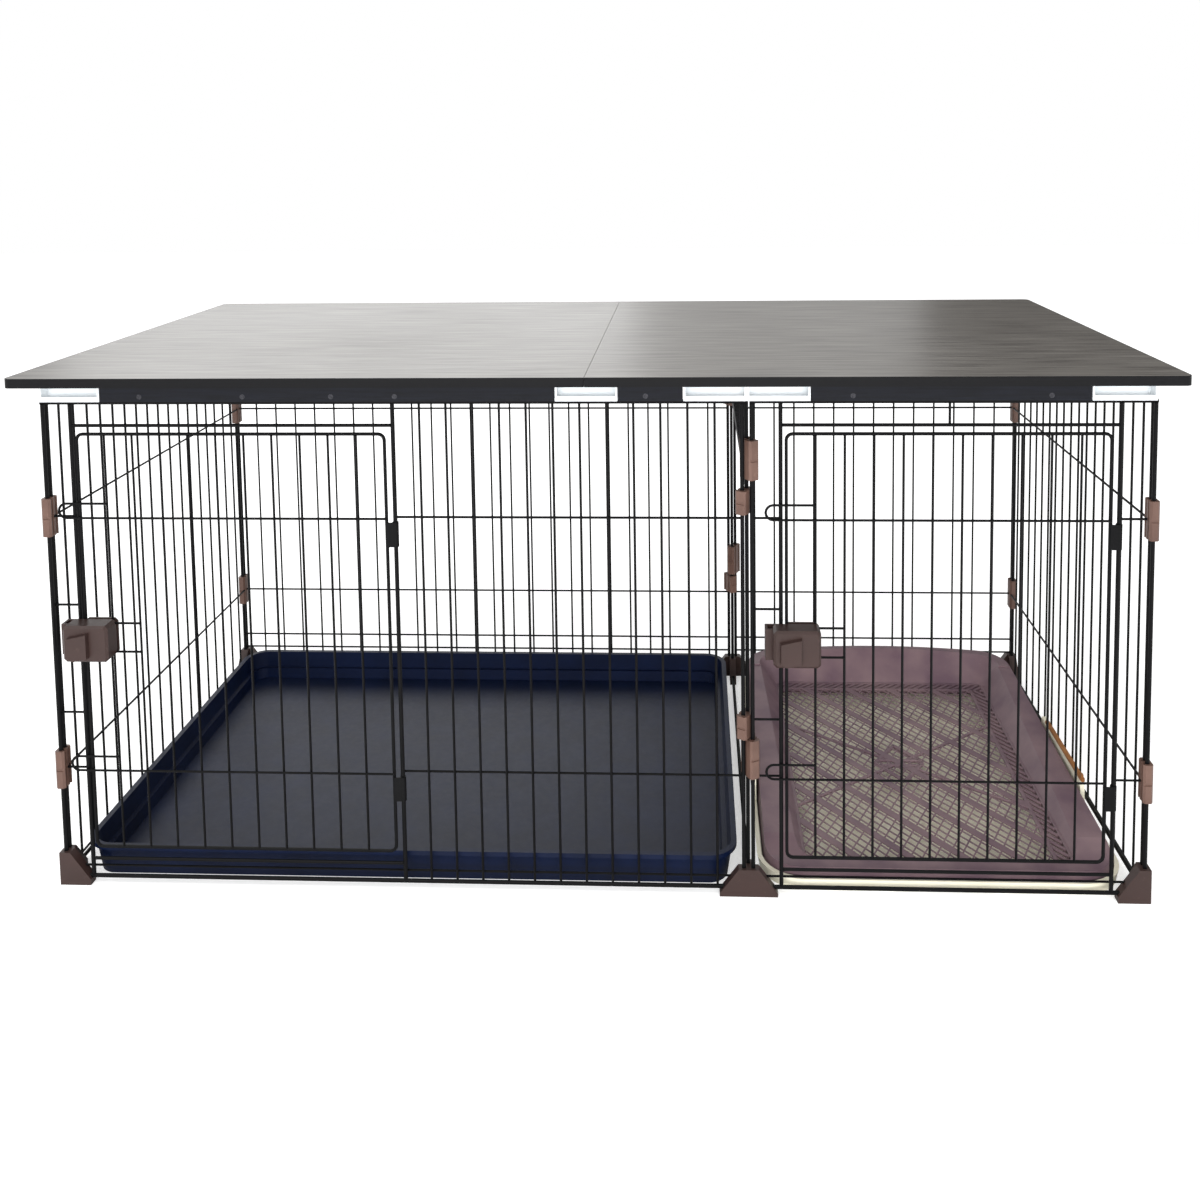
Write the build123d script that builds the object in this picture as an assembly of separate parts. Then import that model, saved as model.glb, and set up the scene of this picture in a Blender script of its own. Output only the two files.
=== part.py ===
from build123d import *
from collections import namedtuple
from math import atan2, cos, degrees, pi, radians, sin, sqrt, tan
import os

# A two-room dog cage. Welded wire panels stand in plastic feet and are snapped together by plastic
# clips. A tray lies in the wide room, a toilet tray with a grid in the narrow one, and a table top
# of two wooden boards rests on the top rails. Millimetres, Z up, front towards -Y, the origin on
# the floor under the middle of the table top.

# Cage body
left_panel_width = 893.5
right_panel_width = 494.5
cage_depth = 620.0
rail_height = 645.0
post_pitch = 12.0
corner_pitch = 8.0
post_foot_level = 6.0

# Wire sizes, measured across the flats of the drawn section
frame_wire = 5.0
door_frame_wire = 4.0
mesh_wire = 2.8
frame_sides = 8
mesh_sides = 6

# Panel levels, the upper ones given below the top rail
upper_wire_drop = 150.0
lower_wire_height = 157.0
bottom_rail_height = 10.0
second_rail_height = 22.0
sill_height = 34.0
header_drop = 30.0
back_guard_heights = (48.0, 72.0)
strip_wire_heights = (232.0, 377.0)
divider_header_drop = 111.0

# Mesh counts and pitches
fixed_mesh_spaces = 13
back_left_spaces = 25
back_right_spaces = 14
side_wire_count = 17
side_wire_pitch = 34.4

# Doorways and doors
doorway_offset = 36.0
doorway_width = 417.0
door_hinge_gap = 11.0
door_latch_gap = 7.0
door_top_gap = 11.0
door_bottom_gap = 17.0
door_corner_radius = 8.0
door_spaces = 11
stop_gap = 0.3
stop_reach = 19.0
stop_loop_radius = 9.5
bend_steps = 4

# Hinge straps
hinge_drop = 5.0
hinge_length = 32.0
hinge_strap = 1.2
hinge_running_gap = 0.08

# Latches, placed from the latch side of the doorway and from the latch height
latch_height = 337.0
latch_bar_spacing = 38.0
latch_width = 59.0
latch_tall = 47.5
latch_depth = 24.7
latch_overlap = 11.0
latch_wall = 2.5
latch_corner = 4.0
latch_travel = 8.0
slider_thickness = 2.5
slider_half_height = 20.0
slider_level = 8.5
hook_clearance = 1.5
hook_thickness = 3.0
hook_length = 16.0
hook_stand_off = 3.0
knob_depth = 6.2
running_gap = 0.3

# Clips
corner_clip_wall = 3.6
centre_clip_wall = 4.6
long_clip = 50.0
short_clip = 30.0
clip_mouth = 3.4
clip_notch = 4.0
clip_notch_depth = 1.5
clip_chamfer = 2.6
fit_gap = 0.1

# Feet
foot_height = 44.0
foot_length = 41.0
foot_back = 6.5
foot_half_width = 6.5
foot_toe = 8.0
foot_shoulder = 8.0
centre_foot_height = 36.0
centre_foot_base = 75.0
centre_foot_top = 26.0

# Living tray
tray_gap = 9.0
tray_side_gap = 14.0
tray_divider_gap = 7.5
tray_height = 45.0
tray_wall = 2.5
tray_corner_radius = 38.0
tray_draft = 9.0
tray_ledge_height = 19.0
tray_ledge = 7.0
tray_flange = 5.0
tray_flange_drop = 6.0

# Toilet tray
pan_gap = 8.0
pan_side_gap = 11.0
pan_divider_gap = 8.0
pan_height = 16.0
pan_wall = 3.0
pan_corner_radius = 58.0
pan_inner_depth = 13.0
pan_notch_length = 124.0
pan_notch_height = 3.6
pan_lug_length = 194.0
pan_lug_slant = 6.0
pan_lug_offset = -21.0
pan_lug_height = 50.0
pan_lug_wall = 6.0
grate_inset = 8.0
grate_corner_radius = 50.0
grate_rim_width = 52.0
grate_front_width = 26.0
grate_rim_wall = 3.0
grate_skirt = 4.0
grate_front_height = 26.0
grate_side_height_front = 34.0
grate_side_height_back = 56.0
grate_back_crown = 12.0
grate_front_run = 26.0
grate_side_begin = 64.0
grate_side_end = 70.0
grate_seat = 3.0
grid_thickness = 4.0
grid_margin = 12.0
grid_ledge = 4.0
grid_slot_width = 12.0
grid_slot_length = 88.0
grid_bar = 7.0
grid_band = 3
grid_angle = 50.0
lock_length = 170.0
lock_width = 6.0
lock_offset = -14.0
lock_side_step = 1.0
lock_thickness = 4.0
lock_pin_radius = 1.8
lock_tab_height = 5.0

# Table top
board_overhang = 35.0
board_end_overhang = 30.0
board_thickness = 12.0
board_corner_radius = 9.0
board_seam = 0.6
edge_band = 1.0
lath_height = 23.0
lath_width = 20.0
channel_length = 78.0
channel_wall = 2.2
channel_lip = 6.5
channel_end = 2.5

half_depth = cage_depth / 2
upper_wire_height = rail_height - upper_wire_drop
header_height = rail_height - header_drop
divider_header_height = rail_height - divider_header_drop
cage_length = left_panel_width + post_pitch + right_panel_width
half_length = cage_length / 2
mid_left_x = -half_length + left_panel_width
mid_right_x = mid_left_x + post_pitch
divider_x = (mid_left_x + mid_right_x) / 2
divider_setback = sqrt(post_pitch**2 - (post_pitch / 2) ** 2)
divider_end = half_depth - divider_setback
side_end = half_depth - corner_pitch
mesh_inward = (frame_wire - mesh_wire) / 2
cross_inward = (frame_wire + mesh_wire) / 2
rail_top = rail_height + frame_wire / 2
frame_corner = 1 / cos(radians(180 / frame_sides))
mesh_corner = 1 / cos(radians(180 / mesh_sides))

Wire3 = namedtuple("Wire3", "start end size flat sides")


# A point on one of the five upright planes: along the plane, inward from it, and up
def on_plane(plane, along, inward, height):
    if plane == "front":
        return Vector(along, -half_depth + inward, height)
    if plane == "back":
        return Vector(along, half_depth - inward, height)
    if plane == "left":
        return Vector(-half_length + inward, along, height)
    if plane == "right":
        return Vector(half_length - inward, along, height)
    return Vector(divider_x + inward, along, height)


def inward_normal(plane):
    return on_plane(plane, 0, 1, 0) - on_plane(plane, 0, 0, 0)


def upright(plane, along, low, high, size, inward=0.0, sides=frame_sides):
    start = on_plane(plane, along, inward, low)
    end = on_plane(plane, along, inward, high)
    return Wire3(start, end, size, inward_normal(plane), sides)


def level(plane, begin, end, height, size, inward=0.0, sides=frame_sides):
    first = on_plane(plane, begin, inward, height)
    last = on_plane(plane, end, inward, height)
    return Wire3(first, last, size, inward_normal(plane), sides)


def section(start, direction, size, flat, sides):
    across = Plane(origin=start, x_dir=flat, z_dir=direction)
    return across * RegularPolygon(size / 2, sides, major_radius=False, rotation=180 / sides)


def straight(wire):
    run = wire.end - wire.start
    profile = section(wire.start, run.normalized(), wire.size, wire.flat, wire.sides)
    return extrude(profile, run.length)


# The square room that a wire needs in a moulding
def room_for(wire):
    run = wire.end - wire.start
    corner = 1.0 if wire.sides % 4 == 0 else 1 / cos(pi / wire.sides)
    across = Plane(origin=wire.start, x_dir=wire.flat, z_dir=run.normalized())
    profile = across * Rectangle(wire.size + 2 * fit_gap, wire.size * corner + 2 * fit_gap)
    return extrude(profile, run.length)


# The wires of a panel meet face to face at their welds
def welded(wires):
    return Compound([straight(wire) for wire in wires])


# Cuts from a moulding the room that the wires through it need
def bored_for(piece, cutters):
    box = piece.bounding_box()
    near = []
    for cutter in cutters:
        other = cutter.bounding_box()
        apart = (
            other.min.X > box.max.X or other.max.X < box.min.X
            or other.min.Y > box.max.Y or other.max.Y < box.min.Y
            or other.min.Z > box.max.Z or other.max.Z < box.min.Z
        )
        if not apart:
            near.append(cutter)
    return piece - near if near else piece


def between(begin, end, spaces):
    pitch = (end - begin) / spaces
    return [begin + pitch * step for step in range(1, spaces)]


def centred(count, pitch):
    return [pitch * (step - (count - 1) / 2) for step in range(count)]


# A rail or cross wire of frame size fits between two uprights of frame size
def rail(plane, begin, end, height, size=frame_wire):
    return level(plane, begin + frame_wire / 2, end - frame_wire / 2, height, size)


# The top rail lies on the ends of its two posts, and the bottom rail between them
def panel_frame(plane, begin, end):
    post_top = rail_height - frame_wire / 2
    overlap = frame_wire / 2
    return [
        upright(plane, begin, post_foot_level, post_top, frame_wire),
        upright(plane, end, post_foot_level, post_top, frame_wire),
        level(plane, begin - overlap, end + overlap, rail_height, frame_wire),
        rail(plane, begin, end, bottom_rail_height),
    ]


# Mesh uprights stand between two rails, flush with the inner face of the frame
def mesh(plane, places, low=bottom_rail_height):
    begin = low + frame_wire / 2
    end = rail_height - frame_wire / 2
    return [upright(plane, place, begin, end, mesh_wire, mesh_inward, mesh_sides) for place in places]


# Cross wires run along the inner face of the frame
def cross_wires(plane, begin, end, heights):
    return [level(plane, begin, end, height, mesh_wire, cross_inward, mesh_sides) for height in heights]


def side_panel(plane):
    frame = panel_frame(plane, -side_end, side_end)
    uprights = mesh(plane, centred(side_wire_count, side_wire_pitch))
    heights = (second_rail_height, lower_wire_height, upper_wire_height)
    return frame + uprights + cross_wires(plane, -side_end, side_end, heights)


def back_panel(begin, end, spaces):
    frame = panel_frame("back", begin, end)
    uprights = mesh("back", between(begin, end, spaces))
    heights = back_guard_heights + (lower_wire_height, upper_wire_height)
    return frame + uprights + cross_wires("back", begin, end, heights)


# A front panel has its doorway beside the left post, and wire mesh or a bare strip beyond it
def front_panel(begin, end, spaces):
    latch_side = begin + doorway_offset
    hinge_side = latch_side + doorway_width
    middle = (latch_side + hinge_side) / 2
    low = bottom_rail_height + frame_wire / 2
    high = rail_height - frame_wire / 2
    wires = panel_frame("front", begin, end)
    wires += [upright("front", place, low, high, frame_wire) for place in (latch_side, hinge_side)]
    wires.append(rail("front", latch_side, hinge_side, header_height, door_frame_wire))
    wires.append(rail("front", latch_side, hinge_side, sill_height, door_frame_wire))
    strut_low = header_height + door_frame_wire / 2
    wires.append(upright("front", middle, strut_low, high, mesh_wire, sides=mesh_sides))
    wires += mesh("front", between(hinge_side, end, spaces))
    wires += cross_wires("front", begin, end, (second_rail_height,))
    main_heights = (lower_wire_height, upper_wire_height)
    wires += cross_wires("front", begin, latch_side, main_heights + strip_wire_heights)
    wires += cross_wires("front", hinge_side, end, main_heights)
    return wires


def divider_panel():
    frame = panel_frame("divider", -divider_end, divider_end)
    header = rail("divider", -divider_end, divider_end, divider_header_height)
    uprights = mesh("divider", centred(side_wire_count, side_wire_pitch), divider_header_height)
    return frame + [header] + uprights


panels = {
    "front_left_panel": front_panel(-half_length, mid_left_x, fixed_mesh_spaces),
    "front_right_panel": front_panel(mid_right_x, half_length, 1),
    "back_left_panel": back_panel(-half_length, mid_left_x, back_left_spaces),
    "back_right_panel": back_panel(mid_right_x, half_length, back_right_spaces),
    "left_side_panel": side_panel("left"),
    "right_side_panel": side_panel("right"),
    "divider_panel": divider_panel(),
}
wire_rooms = [room_for(wire) for wires in panels.values() for wire in wires]

# The door stands a little proud, so that its stop wires pass in front of the doorway
door_inward = -(frame_wire - door_frame_wire) / 2 - stop_gap
door_mesh_inward = door_inward - (door_frame_wire - mesh_wire) / 2
door_wire_inward = door_inward - (door_frame_wire + mesh_wire) / 2
door_low = sill_height + door_bottom_gap
door_high = header_height - door_top_gap
door_span = doorway_width - door_latch_gap - door_hinge_gap


# Points on a bend in the plane of the front, from one angle to another
def bend(along, height, radius, begin, end, inward, steps):
    turns = [radians(begin + (end - begin) * step / steps) for step in range(steps + 1)]
    return [
        on_plane("front", along + radius * cos(turn), inward, height + radius * sin(turn)) for turn in turns
    ]


def along_path(points, size, sides, close=False):
    path = Polyline(*points, close=close)
    first = (points[1] - points[0]).normalized()
    profile = section(points[0], first, size, Vector(0, -1, 0), sides)
    return sweep(profile, path=path, transition=Transition.RIGHT)


def door_frame(begin):
    left = begin + door_latch_gap
    right = left + door_span
    radius = door_corner_radius
    low, high = door_low + radius, door_high - radius
    ring = [on_plane("front", (left + right) / 2, door_inward, door_low)]
    ring += bend(right - radius, low, radius, -90, 0, door_inward, bend_steps)
    ring += bend(right - radius, high, radius, 0, 90, door_inward, bend_steps)
    ring += bend(left + radius, high, radius, 90, 180, door_inward, bend_steps)
    ring += bend(left + radius, low, radius, 180, 270, door_inward, bend_steps)
    return along_path(ring, door_frame_wire, frame_sides, close=True)


def door_places(begin):
    left = begin + door_latch_gap
    return between(left, left + door_span, door_spaces)


def door_mesh(begin):
    places = door_places(begin)
    low = door_low + door_frame_wire / 2
    high = door_high - door_frame_wire / 2
    wires = [
        upright("front", place, low, high, mesh_wire, door_mesh_inward, mesh_sides) for place in places
    ]
    left = begin + door_latch_gap
    for step in (-0.5, 0.5):
        height = latch_height + step * latch_bar_spacing
        wires.append(level("front", left, places[1], height, mesh_wire, door_wire_inward, mesh_sides))
    return welded(wires)


def door_stops(begin):
    right = begin + door_latch_gap + door_span
    first = door_places(begin)[0]
    heights = (lower_wire_height, upper_wire_height)
    return Compound([stop_wire(begin, right, first, height) for height in heights])


# The long wire runs past the doorway, turns back in a round loop and ends on the first upright
def stop_wire(begin, right, first, height):
    radius = stop_loop_radius
    turn = begin - stop_reach + radius
    points = [on_plane("front", right, door_wire_inward, height)]
    points += bend(turn, height + radius, radius, -90, -270, door_wire_inward, 2 * bend_steps)
    points.append(on_plane("front", first, door_wire_inward, height + 2 * radius))
    return along_path(points, mesh_wire, mesh_sides)


# A strap rolled round the doorway upright, with a tab welded on the face of the door frame
def hinge_strap_at(hinge_x, top):
    bore = frame_wire / 2 * frame_corner + hinge_running_gap
    tab_back = door_inward - door_frame_wire / 2
    centre = Pos(hinge_x, -half_depth)
    barrel = centre * RegularPolygon(bore + hinge_strap, 2 * frame_sides, major_radius=False)
    tab = Pos(hinge_x - door_hinge_gap / 2, -half_depth + tab_back - hinge_strap / 2) * Rectangle(
        door_hinge_gap + hinge_strap, hinge_strap
    )
    plan = barrel + tab - centre * Circle(bore)
    return Pos(0, 0, top - hinge_length) * extrude(plan, hinge_length)


def hinge_straps(begin):
    tops = [height - hinge_drop for height in (lower_wire_height, upper_wire_height)]
    return Compound([hinge_strap_at(begin + doorway_width, top) for top in tops])


# Latch pieces are drawn beside the doorway upright at the latch height and placed by this
def at_latch(begin):
    return Pos(begin, -half_depth, latch_height)


def block(x0, x1, y0, y1, z0, z1):
    place = Pos((x0 + x1) / 2, (y0 + y1) / 2, (z0 + z1) / 2)
    return place * Box(x1 - x0, y1 - y0, z1 - z0)


latch_left = -latch_overlap
latch_right = latch_width - latch_overlap
latch_back = door_inward - door_frame_wire / 2
latch_front = latch_back - latch_depth
latch_half = latch_tall / 2
plate_level = door_inward + door_frame_wire / 2
boss_x = door_latch_gap + door_span / door_spaces - 6.0
boss_z = 10.0
boss_half = 3.0
slider_back = -slider_level
slider_front = slider_back - slider_thickness
slider_left = -frame_wire / 2 * frame_corner - hook_clearance - hook_length
slider_right = boss_x - boss_half - latch_travel - 2.0
stem_left = 6.0
stem_right = 14.0
stem_low = -12.0
stem_high = 2.0


def latch_housing(begin):
    shell = block(latch_left, latch_right, latch_front, latch_back, -latch_half, latch_half)
    shell = chamfer(shell.edges().filter_by(Axis.Y), latch_corner)
    shell = chamfer(shell.faces().sort_by(Axis.Y)[0].edges(), 3.0)
    hollow = block(
        latch_left + latch_wall, latch_right - latch_wall, latch_front + latch_wall, latch_back,
        -latch_half + latch_wall, latch_half - latch_wall,
    )
    shell -= hollow
    slot = block(
        stem_left - running_gap, stem_right + latch_travel + running_gap,
        latch_front, latch_front + latch_wall, stem_low - running_gap, stem_high + running_gap,
    )
    window = block(
        latch_left, latch_left + latch_wall, slider_front - running_gap, latch_back,
        -slider_half_height - running_gap, slider_half_height + running_gap,
    )
    shell -= [slot, window]
    for z in (-boss_z, boss_z):
        shell += block(
            boss_x - boss_half, boss_x + boss_half, latch_front + latch_wall, plate_level,
            z - boss_half, z + boss_half,
        )
    half_groove = mesh_wire / 2 * mesh_corner + fit_gap
    for step in (-0.5, 0.5):
        groove = block(
            0, latch_right, door_wire_inward - mesh_wire / 2 - fit_gap, latch_back,
            step * latch_bar_spacing - half_groove, step * latch_bar_spacing + half_groove,
        )
        shell -= groove
    return at_latch(begin) * shell


def latch_plate(begin):
    plate = block(
        door_latch_gap - 1.5, latch_right, plate_level, plate_level + latch_wall, -latch_half, latch_half,
    )
    plate = chamfer(plate.edges().filter_by(Axis.Y), latch_corner)
    return at_latch(begin) * plate


# The slider's hook goes round the doorway upright from outside when it is pushed towards the door
def latch_slider(begin):
    hook_left = slider_left
    tip = -frame_wire / 2 * frame_corner - hook_clearance
    finger_front = hook_stand_off + running_gap
    finger_back = finger_front + hook_thickness
    plate = block(
        hook_left, slider_right, slider_front, slider_back, -slider_half_height, slider_half_height,
    )
    arm = block(
        hook_left, hook_left + hook_thickness, slider_front, finger_back,
        -slider_half_height, slider_half_height,
    )
    finger = block(
        hook_left, tip, finger_front, finger_back, -slider_half_height, slider_half_height,
    )
    knob_back = latch_front - running_gap
    stem = block(stem_left, stem_right, knob_back, slider_front, stem_low, stem_high)
    outline = Polyline((-3, 10), (24, 16), (24, -17), (5, -21), (-3, -17), close=True)
    face = Plane(origin=(0, knob_back, 0), x_dir=(1, 0, 0), z_dir=(0, -1, 0)) * make_face(outline)
    knob = extrude(face, knob_depth, taper=8)
    return at_latch(begin) * (plate + arm + finger + stem + knob)


# A clip holds two posts side by side, snapped on from one flank, with a notch at half height
def clip(first, second, low, height, wall, turned):
    line = second - first
    half_width = frame_wire / 2 + fit_gap + wall
    half_line = line.length / 2
    half_body = half_line + half_width
    body = chamfer(Rectangle(2 * half_body, 2 * half_width).vertices(), clip_chamfer)
    solid = extrude(body, height)
    middle = height / 2
    for flank in (-1, 1):
        x = flank * half_body
        solid -= block(
            x - clip_notch_depth, x + clip_notch_depth, -half_width, half_width,
            middle - clip_notch / 2, middle + clip_notch / 2,
        )
        x = flank * half_line
        solid -= block(x - clip_mouth / 2, x + clip_mouth / 2, 0, half_width, 0, height)
    angle = degrees(atan2(line.Y, line.X)) + (180 if turned else 0)
    centre = (first + second) / 2
    placed = Pos(centre.X, centre.Y, low) * Rot(0, 0, angle) * solid
    return bored_for(placed, wire_rooms)


def corner_clips():
    clips = []
    for x_sign in (-1, 1):
        for y_sign in (-1, 1):
            panel_post = Vector(x_sign * half_length, y_sign * half_depth)
            side_post = Vector(x_sign * half_length, y_sign * side_end)
            turned = x_sign * y_sign > 0
            for height in (lower_wire_height, upper_wire_height):
                low = height - long_clip / 2
                clips.append(clip(panel_post, side_post, low, long_clip, corner_clip_wall, turned))
    return Compound(clips)


def centre_clips():
    upper, lower = upper_wire_height, lower_wire_height
    plan = [
        (-1, mid_right_x, upper + 51.0, long_clip), (-1, mid_left_x, upper + 7.0, short_clip),
        (-1, mid_left_x, lower + 53.0, short_clip), (-1, mid_right_x, lower + 1.0, long_clip),
        (1, mid_right_x, upper + 51.0, long_clip), (1, mid_left_x, upper + 7.0, short_clip),
        (1, mid_right_x, lower + 37.0, long_clip), (1, mid_left_x, lower + 3.0, short_clip),
    ]
    clips = []
    for y_sign, post_x, low, height in plan:
        panel_post = Vector(post_x, y_sign * half_depth)
        divider_post = Vector(divider_x, y_sign * divider_end)
        turned = y_sign * (post_x - divider_x) < 0
        clips.append(clip(panel_post, divider_post, low, height, centre_clip_wall, turned))
    return Compound(clips)


# A corner foot is a boot with one arm under each panel and a slanted instep on both
def corner_foot(x_sign, y_sign):
    profile = make_face(Polyline(
        (-foot_back, 0), (foot_length - foot_back, 0), (foot_length - foot_back, foot_toe),
        (foot_shoulder, foot_height), (-foot_back, foot_height), close=True,
    ))
    arm_x = extrude(Plane.XZ * profile, foot_half_width, both=True)
    arm_y = Pos(0, corner_pitch / 2) * extrude(Plane.YZ * profile, foot_half_width, both=True)
    boot = arm_x + arm_y
    if x_sign > 0:
        boot = mirror(boot, about=Plane.YZ)
    if y_sign > 0:
        boot = mirror(boot, about=Plane.XZ)
    placed = Pos(x_sign * half_length, y_sign * half_depth) * boot
    return bored_for(placed, wire_rooms)


# A centre foot carries three posts, with arms to both sides and one towards the divider
def centre_foot(y_sign):
    rise = centre_foot_height
    wide = make_face(Polyline(
        (-centre_foot_base / 2, 0), (centre_foot_base / 2, 0), (centre_foot_base / 2, foot_toe / 2),
        (centre_foot_top / 2, rise), (-centre_foot_top / 2, rise), (-centre_foot_base / 2, foot_toe / 2),
        close=True,
    ))
    deep = make_face(Polyline(
        (-foot_half_width, 0), (foot_length, 0), (foot_length, foot_toe / 2),
        (divider_setback + foot_half_width, rise), (-foot_half_width, rise), close=True,
    ))
    base = extrude(Plane.XZ * wide, foot_half_width, both=True)
    base += extrude(Plane.YZ * deep, foot_half_width - 1.0, both=True)
    if y_sign > 0:
        base = mirror(base, about=Plane.XZ)
    placed = Pos(divider_x, y_sign * half_depth) * base
    return bored_for(placed, wire_rooms)


# Plan rectangle of a tray from its four sides
def plan_at(x0, x1, y0, y1, radius, height=0.0):
    shape = RectangleRounded(x1 - x0, y1 - y0, radius)
    return Pos((x0 + x1) / 2, (y0 + y1) / 2, height) * shape


tray_x = (-half_length + tray_side_gap, mid_left_x - tray_divider_gap)
tray_y = (-half_depth + tray_gap, half_depth - tray_gap - 4.0)


def tray_plan(inset, height):
    x0, x1 = tray_x
    y0, y1 = tray_y
    radius = tray_corner_radius - inset
    return plan_at(x0 + inset, x1 - inset, y0 + inset, y1 - inset, radius, height)


def living_tray():
    lean = tan(radians(tray_draft)) * tray_height
    foot_inset = tray_flange + lean
    outer = loft([tray_plan(foot_inset, 0), tray_plan(tray_flange, tray_height)])
    ledge_inset = foot_inset - tan(radians(tray_draft)) * tray_ledge_height + tray_wall
    low_room = loft([
        tray_plan(foot_inset + tray_wall + tray_ledge, tray_wall),
        tray_plan(ledge_inset + tray_ledge, tray_ledge_height),
    ])
    high_room = loft([
        tray_plan(ledge_inset, tray_ledge_height), tray_plan(tray_flange + tray_wall, tray_height),
    ])
    rim = extrude(tray_plan(0, tray_height - tray_flange_drop), tray_flange_drop)
    rim -= extrude(tray_plan(tray_wall, tray_height - tray_flange_drop), tray_flange_drop - tray_wall)
    return outer + rim - low_room - high_room


pan_x = (mid_right_x + pan_divider_gap, half_length - pan_side_gap)
pan_y = (-half_depth + pan_gap, half_depth - pan_gap - 6.0)
pan_middle = ((pan_x[0] + pan_x[1]) / 2, (pan_y[0] + pan_y[1]) / 2)
lug_middle = pan_middle[1] + pan_lug_offset
lug_places = (pan_x[0] + pan_lug_wall / 2, pan_x[1] - pan_lug_wall / 2)
lock_middle = lug_middle + lock_offset
lock_pin_y = lock_middle + (lock_length - lock_width) / 2
lock_places = (lug_places[0] + lock_side_step, lug_places[1] - lock_side_step)


def pan_plan(inset, height):
    x0, x1 = pan_x
    y0, y1 = pan_y
    return plan_at(x0 + inset, x1 - inset, y0 + inset, y1 - inset, pan_corner_radius - inset, height)


def toilet_pan():
    body = loft([pan_plan(3.0, 0), pan_plan(0, pan_height)])
    body -= extrude(pan_plan(pan_wall + 3.0, pan_height - pan_inner_depth), pan_inner_depth)
    notch = block(
        pan_middle[0] - pan_notch_length / 2, pan_middle[0] + pan_notch_length / 2,
        pan_y[0], pan_y[0] + 12.0, 0, pan_notch_height,
    )
    body -= notch
    low = pan_lug_length / 2
    top = low - pan_lug_slant
    ear = make_face(Polyline(
        (-low, pan_height), (low, pan_height), (top, pan_lug_height), (-top, pan_lug_height), close=True,
    ))
    for x in lug_places:
        wall = Plane(origin=(x, lug_middle, 0), x_dir=(0, 1, 0), z_dir=(1, 0, 0)) * ear
        body += extrude(wall, pan_lug_wall / 2, both=True)
    for x in lock_places:
        pin = Cylinder(
            lock_pin_radius, lock_thickness + 1.5, align=(Align.CENTER, Align.CENTER, Align.MIN)
        )
        body += Pos(x, lock_pin_y, pan_lug_height) * pin
    return body


# The grate frame sits in the pan, low in front and rising towards a crowned back. The lugs of the pan
# stand beside it.
def grate_plan(inset, height):
    x0, x1 = pan_x
    y0, y1 = pan_y
    step = grate_inset + inset
    return plan_at(x0 + step, x1 - step, y0 + step, y1 - step, grate_corner_radius - inset, height)


def grid_opening(height):
    x0, x1 = pan_x
    y0, y1 = pan_y
    side = grate_inset + grate_rim_width
    front = grate_inset + grate_front_width
    return plan_at(x0 + side, x1 - side, y0 + front, y1 - side, 18.0, height)


def toilet_frame():
    tall = grate_side_height_back + grate_back_crown
    floor = pan_height - pan_inner_depth
    seat_level = pan_height + grate_seat
    outer = loft([grate_plan(0, floor), grate_plan(5.0, tall)])
    room = loft([
        grid_opening(seat_level + grid_thickness),
        grate_plan(5.0 + grate_rim_wall + 7.0, tall),
    ])
    frame = outer - room
    frame -= extrude(grid_opening(floor), tall)
    frame -= extrude(offset(grid_opening(seat_level), grid_ledge), grid_thickness)
    underside = grate_plan(grate_skirt, floor) - offset(grid_opening(floor), grid_ledge + grate_skirt)
    frame -= extrude(underside, seat_level - floor - grate_rim_wall)
    y0, y1 = pan_y
    front = y0 + grate_inset
    back = y1 - grate_inset
    profile = make_face(Polyline(
        (front - 5, grate_front_height), (front + grate_front_run, grate_front_height),
        (front + grate_side_begin, grate_side_height_front), (back - grate_side_end, grate_side_height_back),
        (back + 5, grate_side_height_back), (back + 5, tall + 5), (front - 5, tall + 5), close=True,
    ))
    sky = extrude(Plane(origin=(pan_x[0] - 5, 0, 0), x_dir=(0, 1, 0), z_dir=(1, 0, 0)) * profile,
                  pan_x[1] - pan_x[0] + 10)
    crown = crowned_back(back, tall)
    return frame - (sky - crown)


# The arch that stays standing over the back wall
def crowned_back(back, tall):
    half = (pan_x[1] - pan_x[0]) / 2 - grate_inset
    low = grate_side_height_back
    arc = ThreePointArc((-half, low), (0, tall), (half, low))
    chord = Line((half, low), (-half, low))
    face = make_face(Wire([arc.edge(), chord.edge()]))
    begin = back - grate_side_end + 10.0
    plane = Plane(origin=(pan_middle[0], begin, 0), x_dir=(1, 0, 0), z_dir=(0, -1, 0))
    return extrude(plane * face, -grate_side_end)


# The grid: slanted slots in diagonal rows, with a solid band after every few rows
def toilet_grid():
    level_z = pan_height + grate_seat
    plate = extrude(offset(grid_opening(level_z), grid_ledge - fit_gap), grid_thickness)
    window = offset(grid_opening(0), -grid_margin)
    box = window.bounding_box()
    centre = (box.min + box.max) / 2
    lean = radians(grid_angle)
    along = Vector(cos(lean), -sin(lean))
    across = Vector(sin(lean), cos(lean))
    row_pitch = grid_slot_width + grid_bar
    slot_pitch = grid_slot_length + grid_bar
    rows = int(box.diagonal / row_pitch / 2)
    steps = int(box.diagonal / slot_pitch / 2) + 1
    cutters = []
    for row in range(-rows, rows + 1):
        if row % (grid_band + 1) == 0:
            continue
        for step in range(-steps, steps + 1):
            spot = centre + along * (step + row / 2 % 1) * slot_pitch + across * row * row_pitch
            slot = Pos(spot.X, spot.Y) * Rot(0, 0, -grid_angle) * Rectangle(
                grid_slot_length, grid_slot_width
            )
            hole = slot & window
            if hole is not None and hole.area > grid_slot_width**2:
                cutters.append(Pos(0, 0, level_z) * extrude(hole, grid_thickness))
    return plate - cutters


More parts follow.
